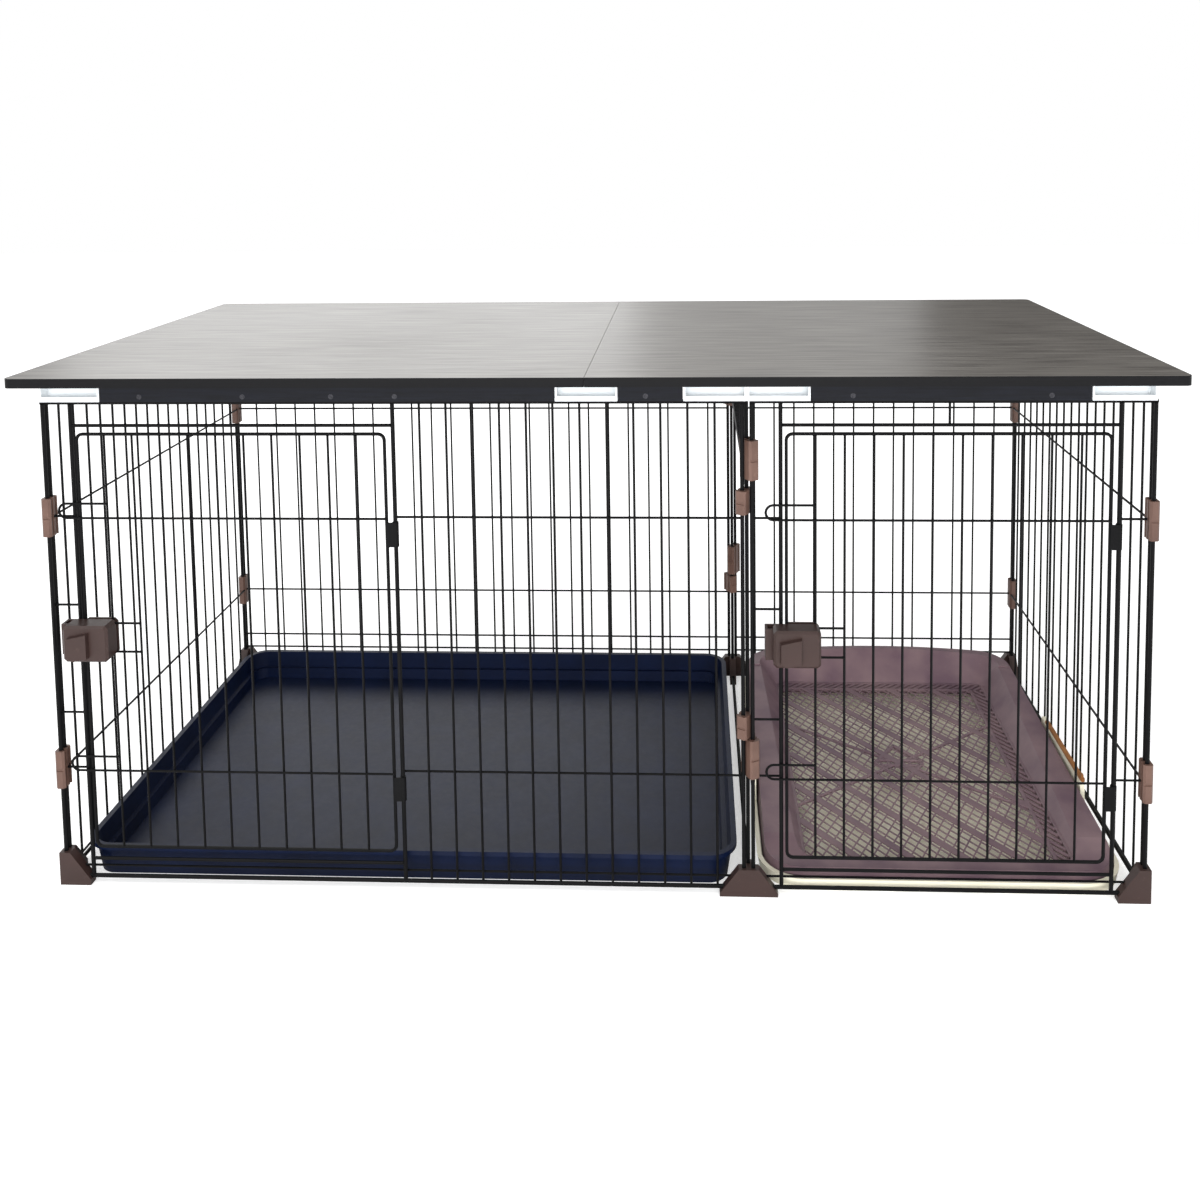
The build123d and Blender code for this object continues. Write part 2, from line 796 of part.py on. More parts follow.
# A lock lever turns inward on its pin, over the rim of the grate frame, by the tab at its free end
def lock_lever(x):
    outline = chamfer(Rectangle(lock_width, lock_length).vertices(), lock_width / 4)
    bar = Pos(x, lock_middle, pan_lug_height) * extrude(outline, lock_thickness)
    tab_y = lock_middle - lock_length / 2 + lock_width
    top = pan_lug_height + lock_thickness
    half = lock_width / 2
    bar += block(x - half / 2, x + half / 2, tab_y - half, tab_y + half, top, top + lock_tab_height)
    return bar - Pos(x, lock_pin_y, pan_lug_height) * Cylinder(lock_pin_radius + 0.05, 3 * lock_thickness)


# Table top
board_level = rail_top + lath_height
board_edge_x = half_length + board_end_overhang
board_edge_y = half_depth + board_overhang


def board(sign):
    inner = sign * board_seam / 2
    outer = sign * (board_edge_x - edge_band)
    deep = board_edge_y - edge_band
    x0, x1 = min(inner, outer), max(inner, outer)
    slab = block(x0, x1, -deep, deep, board_level, board_level + board_thickness)
    corners = slab.edges().filter_by(Axis.Z).group_by(Axis.X)[0 if sign < 0 else -1]
    return fillet(corners, board_corner_radius - edge_band)


# A plastic band glued round the three outer edges of a board
def board_edging(sign):
    inner = sign * board_seam / 2
    outer = sign * board_edge_x
    x0, x1 = min(inner, outer), max(inner, outer)
    slab = block(x0, x1, -board_edge_y, board_edge_y, board_level, board_level + board_thickness)
    corners = slab.edges().filter_by(Axis.Z).group_by(Axis.X)[0 if sign < 0 else -1]
    return fillet(corners, board_corner_radius) - board(sign)


# Where the channels stand along the front and back rails
corner_channel = half_length - channel_length / 2 - 2.0
channel_places = (
    -corner_channel, 0.0, divider_x - channel_length / 2 - 0.3, divider_x + channel_length / 2 + 0.3,
    corner_channel,
)


def laths_along_front(begin, end, y_sign):
    y = y_sign * half_depth
    return block(begin, end, y - lath_width / 2, y + lath_width / 2, rail_top, board_level)


def left_laths():
    ends = (channel_places[0] + channel_length / 2 + 1.0, channel_places[1] - channel_length / 2 - 1.0)
    pieces = [laths_along_front(ends[0], ends[1], y_sign) for y_sign in (-1, 1)]
    return Compound(pieces + [end_lath(-1)])


def right_laths():
    runs = [
        (channel_places[1] + channel_length / 2 + 1.0, channel_places[2] - channel_length / 2 - 1.0),
        (channel_places[3] + channel_length / 2 + 1.0, channel_places[4] - channel_length / 2 - 1.0),
    ]
    pieces = [laths_along_front(a, b, y_sign) for a, b in runs for y_sign in (-1, 1)]
    return Compound(pieces + [end_lath(1)])


def end_lath(sign):
    reach = side_end - 14.0
    x = sign * half_length
    return block(x - lath_width / 2, x + lath_width / 2, -reach, reach, rail_top, board_level)


# A white channel stands on the rail with its open side outwards and a lip along its lower edge
def channel(x, y_sign):
    half = lath_width / 2
    profile = make_face(Polyline(
        (-half, 0), (half, 0), (half, lath_height), (-half, lath_height),
        (-half, lath_height - channel_wall), (half - channel_wall, lath_height - channel_wall),
        (half - channel_wall, channel_wall), (channel_wall - half, channel_wall),
        (channel_wall - half, channel_lip), (-half, channel_lip), close=True,
    ))
    plane = Plane(origin=(x - channel_length / 2, 0, rail_top), x_dir=(0, 1, 0), z_dir=(1, 0, 0))
    solid = extrude(plane * profile, channel_length)
    for end in (-1, 1):
        edge = x + end * (channel_length / 2 - channel_end / 2)
        cap = block(edge - channel_end / 2, edge + channel_end / 2, -half, half, rail_top, board_level)
        solid += cap
    if y_sign > 0:
        solid = mirror(solid, about=Plane.XZ)
    return Pos(0, y_sign * half_depth) * solid


def channels(y_sign):
    return Compound([channel(x, y_sign) for x in channel_places])


left_begin = -half_length + doorway_offset
right_begin = mid_right_x + doorway_offset
nodes = {name: welded(wires) for name, wires in panels.items()}
for side, begin in (("left", left_begin), ("right", right_begin)):
    nodes[side + "_door_frame"] = door_frame(begin)
    nodes[side + "_door_mesh"] = door_mesh(begin)
    nodes[side + "_door_stops"] = door_stops(begin)
    nodes[side + "_hinge_straps"] = hinge_straps(begin)
    nodes[side + "_latch_housing"] = latch_housing(begin)
    nodes[side + "_latch_plate"] = latch_plate(begin)
    nodes[side + "_latch_slider"] = latch_slider(begin)
nodes["corner_clips"] = corner_clips()
nodes["centre_clips"] = centre_clips()
for y_name, y_sign in (("front", -1), ("back", 1)):
    for x_name, x_sign in (("left", -1), ("right", 1)):
        nodes[y_name + "_" + x_name + "_foot"] = corner_foot(x_sign, y_sign)
    nodes[y_name + "_centre_foot"] = centre_foot(y_sign)
    nodes[y_name + "_channels"] = channels(y_sign)
nodes["living_tray"] = living_tray()
nodes["toilet_pan"] = toilet_pan()
nodes["toilet_frame"] = toilet_frame()
nodes["toilet_grid"] = toilet_grid()
nodes["left_lock_lever"] = lock_lever(lock_places[0])
nodes["right_lock_lever"] = lock_lever(lock_places[1])
nodes["left_board"] = board(-1)
nodes["right_board"] = board(1)
nodes["left_board_edging"] = board_edging(-1)
nodes["right_board_edging"] = board_edging(1)
nodes["left_laths"] = left_laths()
nodes["right_laths"] = right_laths()

os.makedirs("parts", exist_ok=True)
for name, shape in nodes.items():
    export_step(shape, "parts/" + name + ".step")
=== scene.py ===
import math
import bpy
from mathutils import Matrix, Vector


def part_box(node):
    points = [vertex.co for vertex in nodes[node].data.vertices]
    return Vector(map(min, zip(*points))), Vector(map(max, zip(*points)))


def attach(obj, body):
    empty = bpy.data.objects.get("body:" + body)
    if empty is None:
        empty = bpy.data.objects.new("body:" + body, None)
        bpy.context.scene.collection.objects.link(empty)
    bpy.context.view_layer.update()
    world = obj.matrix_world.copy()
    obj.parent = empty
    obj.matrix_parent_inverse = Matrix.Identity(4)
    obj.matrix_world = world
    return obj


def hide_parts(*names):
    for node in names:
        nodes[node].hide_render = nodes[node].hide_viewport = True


bl_info = {
    "name": "Two-room dog cage with a table top",
    "version": (1, 0, 0),
    "blender": (4, 5, 0),
    "location": "3D View > Sidebar > Dog Cage",
    "description": "Dresses the dog cage: coated wire, moulded plastic, brushed board and a plain studio",
    "category": "Object",
}

import bmesh
import bpy
from bpy.props import FloatProperty, FloatVectorProperty, PointerProperty, StringProperty
from mathutils import Euler, Matrix, Vector

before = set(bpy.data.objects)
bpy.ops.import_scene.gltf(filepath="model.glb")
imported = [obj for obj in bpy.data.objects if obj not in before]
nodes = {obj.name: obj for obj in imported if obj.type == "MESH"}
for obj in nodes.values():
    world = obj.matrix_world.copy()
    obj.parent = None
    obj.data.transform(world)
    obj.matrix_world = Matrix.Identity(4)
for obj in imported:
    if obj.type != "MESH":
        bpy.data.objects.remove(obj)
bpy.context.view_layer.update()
mm = 0.001


# Colours are written as sRGB hex and turned to linear here
def linear(text):
    levels = [int(text[i : i + 2], 16) / 255 for i in (1, 3, 5)]
    return [v / 12.92 if v <= 0.04045 else ((v + 0.055) / 1.055) ** 2.4 for v in levels] + [1.0]


# Adds a node with its settings, and links or sets its inputs
def add_node(tree, kind, inputs=None, **settings):
    made = tree.nodes.new("ShaderNode" + kind)
    for name, value in settings.items():
        setattr(made, name, value)
    for socket, value in (inputs or {}).items():
        if isinstance(value, bpy.types.NodeSocket):
            tree.links.new(value, made.inputs[socket])
        else:
            made.inputs[socket].default_value = value
    return made


def new_material(name):
    material = bpy.data.materials.new(name)
    material.use_nodes = True
    tree = material.node_tree
    tree.nodes.clear()
    shader = add_node(tree, "BsdfPrincipled")
    output = add_node(tree, "OutputMaterial", {"Surface": shader.outputs[0]})
    place = add_node(tree, "TexCoord").outputs["Object"]
    return material, tree, shader, place


def set_shader(shader, **values):
    for name, value in values.items():
        shader.inputs[name.replace("_", " ")].default_value = value


def between_colours(tree, factor, low, high, begin=0.3, end=0.7):
    ramp = add_node(tree, "ValToRGB", {"Fac": factor})
    ramp.color_ramp.elements[0].position = begin
    ramp.color_ramp.elements[0].color = linear(low)
    ramp.color_ramp.elements[1].position = end
    ramp.color_ramp.elements[1].color = linear(high)
    return ramp.outputs["Color"]


# The size of one grain of a noise texture, in millimetres, as its scale
def grain(size):
    return 1000.0 / size


def roughened(tree, shader, factor, low, high):
    spread = add_node(tree, "MapRange", {"Value": factor, "To Min": low, "To Max": high})
    tree.links.new(spread.outputs[0], shader.inputs["Roughness"])


def bumped(tree, shader, height, distance, strength=1.0):
    bump = add_node(tree, "Bump", {"Height": height, "Distance": distance * mm, "Strength": strength})
    tree.links.new(bump.outputs[0], shader.inputs["Normal"])


# Steel wire under a sprayed and baked powder coat: near black, satin, with a faint orange peel
def powder_coated_steel(colour):
    material, tree, shader, place = new_material("powder_coated_steel")
    peel = add_node(tree, "TexNoise", {"Vector": place, "Scale": grain(1.6), "Detail": 3.0})
    cloud = add_node(tree, "TexNoise", {"Vector": place, "Scale": grain(40), "Detail": 4.0})
    colours = between_colours(tree, cloud.outputs["Fac"], colour, "#0a0a0c")
    tree.links.new(colours, shader.inputs["Base Color"])
    roughened(tree, shader, cloud.outputs["Fac"], 0.42, 0.55)
    bumped(tree, shader, peel.outputs["Fac"], 0.05, 0.5)
    set_shader(shader, IOR=1.4, Specular_IOR_Level=0.25)
    return material


# Injection-moulded plastic: fine spark texture from the tool, slow clouds of colour, paler rubbed spots
def moulded_plastic(name, colour, shade, rubbed, roughness=0.42, texture=0.6, specular=0.4, depth=0.03):
    material, tree, shader, place = new_material(name)
    fine = add_node(tree, "TexNoise", {"Vector": place, "Scale": grain(texture), "Detail": 2.0})
    cloud = add_node(tree, "TexNoise", {"Vector": place, "Scale": grain(55), "Detail": 3.0})
    scuff = add_node(
        tree, "TexNoise", {"Vector": place, "Scale": grain(9), "Detail": 6.0, "Roughness": 0.7}
    )
    body = between_colours(tree, cloud.outputs["Fac"], shade, colour)
    worn = add_node(tree, "MapRange", {"Value": scuff.outputs["Fac"], "From Min": 0.6, "From Max": 0.8})
    worn.inputs["To Max"].default_value = 0.35
    mixed = add_node(tree, "Mix", {"Factor": worn.outputs[0]}, data_type="RGBA")
    tree.links.new(body, mixed.inputs[6])
    mixed.inputs[7].default_value = linear(rubbed)
    tree.links.new(mixed.outputs[2], shader.inputs["Base Color"])
    roughened(tree, shader, scuff.outputs["Fac"], roughness - 0.08, roughness + 0.1)
    bumped(tree, shader, fine.outputs["Fac"], depth, 0.6)
    set_shader(shader, IOR=1.49, Specular_IOR_Level=specular)
    return material


# Melamine-faced board printed and brushed as grey oak: long grain along X with dark pores
def brushed_grey_board(colour, dark):
    material, tree, shader, place = new_material("brushed_grey_oak_board")
    along = add_node(tree, "Mapping", {"Vector": place, "Scale": (1.2, 26.0, 26.0)})
    streak = add_node(
        tree, "TexNoise",
        {"Vector": along.outputs[0], "Scale": grain(160), "Detail": 8.0, "Roughness": 0.62},
    )
    pores = add_node(tree, "Mapping", {"Vector": place, "Scale": (2.2, 110.0, 110.0)})
    pore = add_node(
        tree, "TexNoise", {"Vector": pores.outputs[0], "Scale": grain(110), "Detail": 3.0, "Roughness": 0.5}
    )
    cloud = add_node(tree, "TexNoise", {"Vector": place, "Scale": grain(420), "Detail": 2.0})
    base = between_colours(tree, streak.outputs["Fac"], dark, colour, 0.34, 0.66)
    lines = add_node(tree, "MapRange", {"Value": pore.outputs["Fac"], "From Min": 0.56, "From Max": 0.7})
    lines.inputs["To Max"].default_value = 0.45
    mixed = add_node(tree, "Mix", {"Factor": lines.outputs[0]}, data_type="RGBA")
    tree.links.new(base, mixed.inputs[6])
    mixed.inputs[7].default_value = linear(dark)
    tree.links.new(mixed.outputs[2], shader.inputs["Base Color"])
    roughened(tree, shader, cloud.outputs["Fac"], 0.3, 0.42)
    bumped(tree, shader, pore.outputs["Fac"], 0.08, 0.7)
    set_shader(shader, IOR=1.5)
    return material


# Edge band extruded in black plastic: smooth and a little glossy, with lines along its length
def extruded_black_band():
    material, tree, shader, place = new_material("extruded_black_edge_band")
    lines = add_node(tree, "Mapping", {"Vector": place, "Scale": (2.0, 2.0, 400.0)})
    draw = add_node(tree, "TexNoise", {"Vector": lines.outputs[0], "Scale": 4.0, "Detail": 2.0})
    colours = between_colours(tree, draw.outputs["Fac"], "#050507", "#0b0b0e")
    tree.links.new(colours, shader.inputs["Base Color"])
    roughened(tree, shader, draw.outputs["Fac"], 0.36, 0.5)
    bumped(tree, shader, draw.outputs["Fac"], 0.02, 0.4)
    set_shader(shader, Specular_IOR_Level=0.25)
    return material


# Softwood lath under dark lacquer: the grain just shows through the coat
def lacquered_lath():
    material, tree, shader, place = new_material("dark_lacquered_lath")
    along = add_node(tree, "Mapping", {"Vector": place, "Scale": (3.0, 60.0, 60.0)})
    streak = add_node(tree, "TexNoise", {"Vector": along.outputs[0], "Scale": 6.0, "Detail": 6.0})
    colours = between_colours(tree, streak.outputs["Fac"], "#0a0b10", "#14161e")
    tree.links.new(colours, shader.inputs["Base Color"])
    roughened(tree, shader, streak.outputs["Fac"], 0.38, 0.55)
    bumped(tree, shader, streak.outputs["Fac"], 0.1, 0.5)
    set_shader(shader, Specular_IOR_Level=0.25)
    return material


# Zinc-plated screw steel, pressed and tumbled
def plated_screw_steel():
    material, tree, shader, place = new_material("zinc_plated_screw_steel")
    cloud = add_node(tree, "TexNoise", {"Vector": place, "Scale": grain(2), "Detail": 3.0})
    colours = between_colours(tree, cloud.outputs["Fac"], "#3a3a3e", "#57575c")
    tree.links.new(colours, shader.inputs["Base Color"])
    roughened(tree, shader, cloud.outputs["Fac"], 0.3, 0.45)
    set_shader(shader, Metallic=1.0)
    return material


# The studio floor is lifted to white for the camera alone, and keeps the object's shadow
def studio_paper(lift):
    material, tree, shader, place = new_material("studio_paper")
    fibre = add_node(tree, "TexNoise", {"Vector": place, "Scale": grain(30), "Detail": 2.0})
    tree.links.new(
        between_colours(tree, fibre.outputs["Fac"], "#f0f0f0", "#f4f4f4"), shader.inputs["Base Color"]
    )
    set_shader(shader, Roughness=0.9)
    path = add_node(tree, "LightPath")
    strength = add_node(tree, "Math", {0: path.outputs["Is Camera Ray"], 1: lift}, operation="MULTIPLY")
    glow = add_node(tree, "Emission", {"Color": (1, 1, 1, 1), "Strength": strength.outputs[0]})
    both = add_node(tree, "AddShader", {0: shader.outputs[0], 1: glow.outputs[0]})
    output = [node for node in tree.nodes if node.type == "OUTPUT_MATERIAL"][0]
    tree.links.new(both.outputs[0], output.inputs["Surface"])
    return material


# Dark felt of the flag that keeps the right of the table top from reflecting the white studio
def dark_felt():
    material, tree, shader, place = new_material("dark_pressed_felt")
    fibre = add_node(tree, "TexNoise", {"Vector": place, "Scale": grain(4), "Detail": 4.0})
    tree.links.new(
        between_colours(tree, fibre.outputs["Fac"], "#1c1c20", "#26262a"), shader.inputs["Base Color"]
    )
    set_shader(shader, Roughness=0.95)
    return material


# A mesh piece that rides on a body and takes a material
def piece(name, mesh_data, material, body):
    mesh = bpy.data.meshes.new(name)
    mesh_data.to_mesh(mesh)
    mesh_data.free()
    mesh.materials.append(material)
    made = bpy.data.objects.new(name, mesh)
    bpy.context.scene.collection.objects.link(made)
    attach(made, body)
    return made


# Adds one straight bar with a bevelled top to a mesh, from one plan point to another
def add_bar(mesh_data, begin, end, width, low, high, bevel):
    along = (end - begin).normalized()
    across = Vector((-along.y, along.x))
    half = width / 2
    rings = []
    for point in (begin, end):
        outline = [
            (-half, low), (half, low), (half, high - bevel),
            (half - bevel, high), (bevel - half, high), (-half, high - bevel),
        ]
        rings.append([
            mesh_data.verts.new((point.x + across.x * offset, point.y + across.y * offset, level))
            for offset, level in outline
        ])
    count = len(rings[0])
    for index in range(count):
        after = (index + 1) % count
        mesh_data.faces.new([rings[0][index], rings[0][after], rings[1][after], rings[1][index]])
    mesh_data.faces.new(rings[0][::-1])
    mesh_data.faces.new(rings[1])


# The stretch of a slanting line that lies inside a rectangle, or nothing
def inside(point, along, box):
    begin, end = -math.inf, math.inf
    for axis in (0, 1):
        low, high = box[0][axis], box[1][axis]
        first, second = sorted(((low - point[axis]) / along[axis], (high - point[axis]) / along[axis]))
        begin, end = max(begin, first), min(end, second)
    if end - begin < shortest_bar:
        return None
    return point + along * begin, point + along * end


# Parallel bars at one lean and pitch across a rectangle
def add_bars(mesh_data, box, lean, pitch, width, low, high, bevel):
    along = Vector((math.cos(lean), math.sin(lean)))
    across = Vector((-along.y, along.x))
    centre = (Vector(box[0]) + Vector(box[1])) / 2
    reach = (Vector(box[1]) - Vector(box[0])).length / 2
    count = int(reach / pitch) + 1
    for step in range(-count, count + 1):
        run = inside(centre + across * step * pitch, along, box)
        if run:
            add_bar(mesh_data, run[0], run[1], width, low, high, bevel)


class CageColours(bpy.types.PropertyGroup):
    wire: StringProperty(name="Wire", description="Powder coat on every wire, sRGB hex", default="#050506")
    board: StringProperty(name="Board", description="Lighter grain of the table top", default="#7d7973")
    board_dark: StringProperty(
        name="Board pores", description="Darker grain of the table top", default="#4e4a46"
    )
    tray: StringProperty(name="Tray", description="Tray of the living room", default="#091531")
    pan: StringProperty(name="Pan", description="Pan of the toilet room", default="#f6f2de")
    grate: StringProperty(name="Grate", description="Grate of the toilet room", default="#806a6e")
    latch: StringProperty(name="Latch", description="Latches and feet", default="#3a2a27")
    clip: StringProperty(name="Clip", description="Snap clips", default="#6b5248")
    lever: StringProperty(name="Lever", description="Lock levers of the toilet pan", default="#a8713f")


class CageStudio(bpy.types.PropertyGroup):
    lens: FloatProperty(name="Lens", description="Focal length of the camera", default=34.57, unit="CAMERA")
    position: FloatVectorProperty(
        name="Camera", description="Where the camera stands", default=(0.136, -1.728, 0.963),
        subtype="TRANSLATION",
    )
    shift: FloatVectorProperty(
        name="Shift", description="Shift of the camera's frame", size=2, default=(-0.0345, -0.30)
    )
    heading: FloatProperty(
        name="Heading", description="Turn of the camera to the left", default=math.radians(2.63),
        subtype="ANGLE",
    )
    pitch: FloatProperty(
        name="Pitch", description="Tilt of the camera upward", default=math.radians(-4.65), subtype="ANGLE"
    )
    roll: FloatProperty(
        name="Roll", description="Roll of the camera about its line of sight",
        default=math.radians(0.68), subtype="ANGLE",
    )
    world: FloatProperty(name="World", description="Strength of the even light all round", default=0.85)
    lift: FloatProperty(
        name="Floor lift", description="What lifts the floor to white for the camera", default=0.45
    )
    window: FloatProperty(
        name="Window lamp", description="Power of the lamp behind on the left", default=13.0, unit="POWER"
    )
    key: FloatProperty(
        name="Key lamp", description="Power of the large lamp above", default=26.0, unit="POWER"
    )
    front: FloatProperty(
        name="Front lamp", description="Power of the wide lamp in front", default=110.0, unit="POWER"
    )


def colours():
    return bpy.context.scene.cage_colours


def coat(material, *names):
    for name in names:
        mesh = nodes[name].data
        mesh.materials.clear()
        mesh.materials.append(material)


class CAGE_OT_wire(bpy.types.Operator):
    """Coats the wire panels, doors and hinge straps"""

    bl_idname = "cage.wire"
    bl_label = "Wire panels and doors"

    def execute(self, context):
        steel = powder_coated_steel(colours().wire)
        wires = ("_panel", "_door_frame", "_door_mesh", "_door_stops", "_hinge_straps")
        coat(steel, *[name for name in nodes if name.endswith(wires)])
        return {"FINISHED"}


class CAGE_OT_mouldings(bpy.types.Operator):
    """Colours the clips, feet, latches and channels"""

    bl_idname = "cage.mouldings"
    bl_label = "Clips, feet, latches and channels"

    def execute(self, context):
        brown = moulded_plastic("moulded_brown_abs", colours().latch, "#352724", "#6a5651", 0.42)
        tan = moulded_plastic("moulded_tan_nylon", colours().clip, "#553f37", "#a07f70", 0.38)
        white = moulded_plastic("extruded_white_pvc", "#eef1f3", "#e2e7ea", "#f6f8f8", 0.32)
        coat(brown, *[name for name in nodes if "_latch_" in name or name.endswith("_foot")])
        coat(tan, "corner_clips", "centre_clips")
        coat(white, "front_channels", "back_channels")
        return {"FINISHED"}


# Sizes of the grate's lattice
lattice_edge = 8 * mm
lattice_teeth = 20 * mm
lattice_bevel = 0.8 * mm
strand_lean = math.radians(-51)
strand_pitch, strand_width = 11.2 * mm, 2.2 * mm
cross_lean = math.radians(62)
cross_pitch, cross_width = 14.5 * mm, 2.0 * mm
band_pitch, band_width = 56 * mm, 11.5 * mm
tooth_width = 4.5 * mm
back_tooth_lean, back_tooth_pitch = math.radians(40), 8.5 * mm
right_tooth_lean, right_tooth_pitch = math.radians(-52), 9.5 * mm
line_width = 5 * mm
ray_width, ray_lean = 4 * mm, 0.62
diamond_half = Vector((36, 50)) * mm
cross_bar_half, cross_bar_apart = 30 * mm, 7 * mm
shortest_bar = 4 * mm


# The grate's lattice: crossing strands with solid bands, a ledge round it and slanted teeth behind
# and on the right, and a plain small diamond with two cross bars in the middle
def grate_lattice(material):
    low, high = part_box("toilet_grid")
    base, top = low.z, high.z
    edge = Vector((lattice_edge, lattice_edge))
    field = (low.xy + edge, high.xy - edge)
    net = (field[0], field[1] - Vector((lattice_teeth, lattice_teeth)))
    lattice = bmesh.new()
    add_bars(lattice, net, strand_lean, strand_pitch, strand_width, top - 1.6 * mm, top - 0.4 * mm, 0.4 * mm)
    add_bars(lattice, net, cross_lean, cross_pitch, cross_width, top - 1.8 * mm, top - 0.8 * mm, 0.3 * mm)
    add_bars(lattice, net, strand_lean, band_pitch, band_width, top - 2.0 * mm, top - 0.2 * mm, 0.6 * mm)
    tooth_top = top - 0.4 * mm
    teeth = (
        ((field[0].x, net[1].y), (field[1].x, field[1].y), back_tooth_lean, back_tooth_pitch),
        ((net[1].x, field[0].y), (field[1].x, net[1].y), right_tooth_lean, right_tooth_pitch),
    )
    for begin, end, lean, pitch in teeth:
        add_bars(lattice, (begin, end), lean, pitch, tooth_width, base, tooth_top, lattice_bevel)
    inset = lattice_edge / 2
    centre = (net[0] + net[1]) / 2
    tips = [
        centre + Vector((diamond_half.x * x, diamond_half.y * y))
        for x, y in ((1, 0), (0, 1), (-1, 0), (0, -1))
    ]
    lines = [
        ((net[0].x, net[1].y), (net[1].x, net[1].y), line_width),
        ((net[1].x, net[0].y), (net[1].x, net[1].y), line_width),
    ]
    for x in (low.x + inset, high.x - inset):
        lines.append(((x, low.y), (x, high.y), lattice_edge))
    for y in (low.y + inset, high.y - inset):
        lines.append(((low.x + lattice_edge, y), (high.x - lattice_edge, y), lattice_edge))
    for index in range(4):
        lines.append((tips[index], tips[(index + 1) % 4], line_width))
    for y in (centre.y - cross_bar_apart, centre.y + cross_bar_apart):
        lines.append(((centre.x - cross_bar_half, y), (centre.x + cross_bar_half, y), line_width))
    for begin, end, width in lines:
        add_bar(lattice, Vector(begin), Vector(end), width, base, top, lattice_bevel)
    for sign in (-1, 1):
        begin, end = inside(centre, Vector((math.cos(ray_lean), sign * math.sin(ray_lean))), net)
        add_bar(lattice, begin, end, ray_width, base, top - 0.3 * mm, lattice_bevel)
    made = piece("grate_lattice", lattice, material, "toilet_grate")
    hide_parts("toilet_grid")


# Where the screws are along the front of each lath, their height and their sizes
screw_places = {"left": (-568, -435, -322, -241), "right": (74, 330, 571)}
screw_height = 654 * mm
screw_head, screw_rim, screw_rise = 2.9 * mm, 3.3 * mm, 0.5 * mm
screw_stand = 0.1 * mm
recess_size = (3.4 * mm, 0.8 * mm, 0.6 * mm, 1.0)


# Countersunk screw heads in the front of the laths, each with a cross recess
def lath_screws(material):
    front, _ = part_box("left_laths")
    spin = Matrix.Rotation(math.radians(90), 4, "X")
    for side, places in screw_places.items():
        heads = bmesh.new()
        for x in places:
            place = Matrix.Translation((x * mm, front.y + screw_stand, screw_height)) @ spin
            bmesh.ops.create_cone(
                heads, cap_ends=True, segments=20, radius1=screw_head, radius2=screw_rim,
                depth=screw_rise, matrix=place,
            )
            for turn in (45, 135):
                bar = Matrix.Rotation(math.radians(turn), 4, "Z") @ Matrix.Diagonal(recess_size)
                bmesh.ops.create_cube(heads, size=1.0, matrix=place @ bar)
        piece(side + "_lath_screws", heads, material, side + "_table_top")


class CAGE_OT_trays(bpy.types.Operator):
    """Finishes the living tray, the toilet pan and its grate"""

    bl_idname = "cage.trays"
    bl_label = "Trays"

    def execute(self, context):
        navy = moulded_plastic(
            "moulded_navy_polypropylene", colours().tray, "#060f26", "#1c2b48",
            roughness=0.42, texture=1.0, specular=0.25, depth=0.05,
        )
        cream = moulded_plastic("moulded_cream_polypropylene", colours().pan, "#efead3", "#fbf9ee", 0.3)
        mauve = moulded_plastic("moulded_mauve_polypropylene", colours().grate, "#65505a", "#9a868a", 0.45)
        grate_lattice(mauve)
        orange = moulded_plastic("moulded_orange_acetal", colours().lever, "#8f5c30", "#c08a58", 0.34)
        coat(navy, "living_tray")
        coat(cream, "toilet_pan")
        coat(mauve, "toilet_frame", "toilet_grid")
        coat(orange, "left_lock_lever", "right_lock_lever")
        return {"FINISHED"}


class CAGE_OT_table_top(bpy.types.Operator):
    """Finishes the boards, their edge bands and the laths under them"""

    bl_idname = "cage.table_top"
    bl_label = "Table top"

    def execute(self, context):
        coat(brushed_grey_board(colours().board, colours().board_dark), "left_board", "right_board")
        coat(extruded_black_band(), "left_board_edging", "right_board_edging")
        coat(lacquered_lath(), "left_laths", "right_laths")
        lath_screws(plated_screw_steel())
        return {"FINISHED"}


# Size and place of each lamp, in metres
lamp_places = {
    "key_lamp": ((2.4, 2.4), (-1.1, -1.6, 2.9)),
    "window_lamp": ((2.2, 1.2), (-1.1, 2.6, 1.5)),
    "front_lamp": ((3.4, 1.6), (0.1, -3.4, 0.9)),
}
lamp_aim = Vector((0, 0, 0.45))
floor_reach = 9
flag_corners = [(0.95, 2.4, 0.6), (4.2, 1.2, 0.6), (4.2, 1.2, 2.4), (0.95, 2.4, 2.4)]


# A flat stage piece with one face
def sheet(name, corners, material):
    mesh = bpy.data.meshes.new(name)
    mesh.from_pydata(corners, [], [(0, 1, 2, 3)])
    mesh.materials.append(material)
    made = bpy.data.objects.new(name, mesh)
    bpy.context.scene.collection.objects.link(made)
    return made


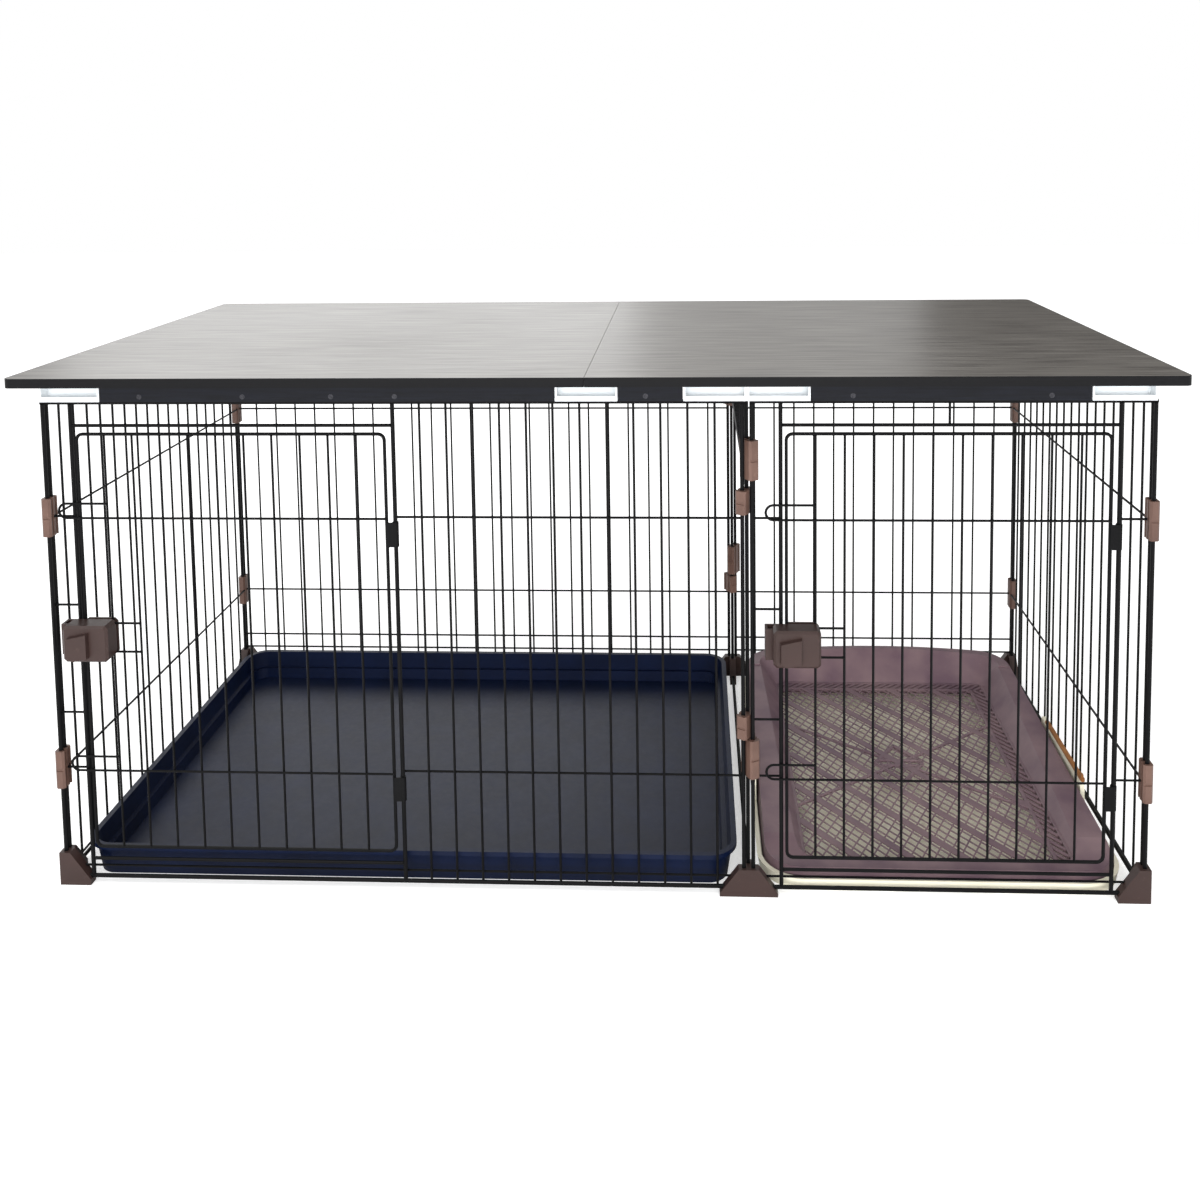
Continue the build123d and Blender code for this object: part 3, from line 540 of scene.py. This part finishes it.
class CAGE_OT_stage(bpy.types.Operator):
    """Makes the floor, the lamps and the camera"""

    bl_idname = "cage.stage"
    bl_label = "Studio"

    def execute(self, context):
        studio = context.scene.cage_studio
        reach = floor_reach
        floor_corners = [(-reach, -reach, 0), (reach, -reach, 0), (reach, reach, 0), (-reach, reach, 0)]
        sheet("studio_floor", floor_corners, studio_paper(studio.lift))

        world = bpy.data.worlds.new("studio_light")
        context.scene.world = world
        world.use_nodes = True
        tree = world.node_tree
        tree.nodes.clear()
        path = add_node(tree, "LightPath")
        even = add_node(tree, "Background", {"Color": (1, 1, 1, 1), "Strength": studio.world})
        white = add_node(tree, "Background", {"Color": (1, 1, 1, 1), "Strength": 1.0})
        mixed = add_node(
            tree, "MixShader", {0: path.outputs["Is Camera Ray"], 1: even.outputs[0], 2: white.outputs[0]}
        )
        add_node(tree, "OutputWorld", {"Surface": mixed.outputs[0]})

        powers = {"key_lamp": studio.key, "window_lamp": studio.window, "front_lamp": studio.front}
        for name, (size, place) in lamp_places.items():
            lamp = bpy.data.lights.new(name, "AREA")
            lamp.energy = powers[name]
            lamp.shape = "RECTANGLE"
            lamp.size, lamp.size_y = size
            made = bpy.data.objects.new(name, lamp)
            made.location = place
            made.visible_glossy = name != "front_lamp"
            aim = lamp_aim - made.location
            made.rotation_euler = aim.to_track_quat("-Z", "Y").to_euler()
            context.scene.collection.objects.link(made)
        flag = sheet("dark_flag", flag_corners, dark_felt())
        flag.visible_camera = False
        flag.visible_diffuse = False
        flag.visible_shadow = False

        data = bpy.data.cameras.new("camera")
        data.sensor_width = 36
        data.lens = studio.lens
        data.shift_x, data.shift_y = studio.shift
        camera = bpy.data.objects.new("camera", data)
        camera.location = studio.position
        level = Euler((math.radians(90), 0, 0)).to_matrix()
        turn = Matrix.Rotation(studio.heading, 3, "Z")
        pitch = Matrix.Rotation(studio.pitch, 3, "X")
        roll = Matrix.Rotation(studio.roll, 3, "Y")
        camera.rotation_euler = (turn @ pitch @ roll @ level).to_euler()
        context.scene.collection.objects.link(camera)
        context.scene.camera = camera
        context.scene.view_settings.view_transform = "Standard"
        return {"FINISHED"}


operators = (CAGE_OT_wire, CAGE_OT_mouldings, CAGE_OT_trays, CAGE_OT_table_top, CAGE_OT_stage)


class CAGE_PT_sidebar(bpy.types.Panel):
    bl_idname = "CAGE_PT_sidebar"
    bl_label = "Dog Cage"
    bl_space_type = "VIEW_3D"
    bl_region_type = "UI"
    bl_category = "Dog Cage"

    def draw(self, context):
        for operator in operators:
            self.layout.operator(operator.bl_idname)
        for group in (context.scene.cage_colours, context.scene.cage_studio):
            for name in group.bl_rna.properties.keys()[2:]:
                self.layout.prop(group, name)


classes = (CageColours, CageStudio) + operators + (CAGE_PT_sidebar,)


def register():
    for item in classes:
        bpy.utils.register_class(item)
    bpy.types.Scene.cage_colours = PointerProperty(type=CageColours)
    bpy.types.Scene.cage_studio = PointerProperty(type=CageStudio)


def unregister():
    del bpy.types.Scene.cage_studio
    del bpy.types.Scene.cage_colours
    for item in reversed(classes):
        bpy.utils.unregister_class(item)


def main():
    register()
    for operator in operators:
        area, name = operator.bl_idname.split(".")
        getattr(getattr(bpy.ops, area), name)()


if __name__ == "__main__":
    main()
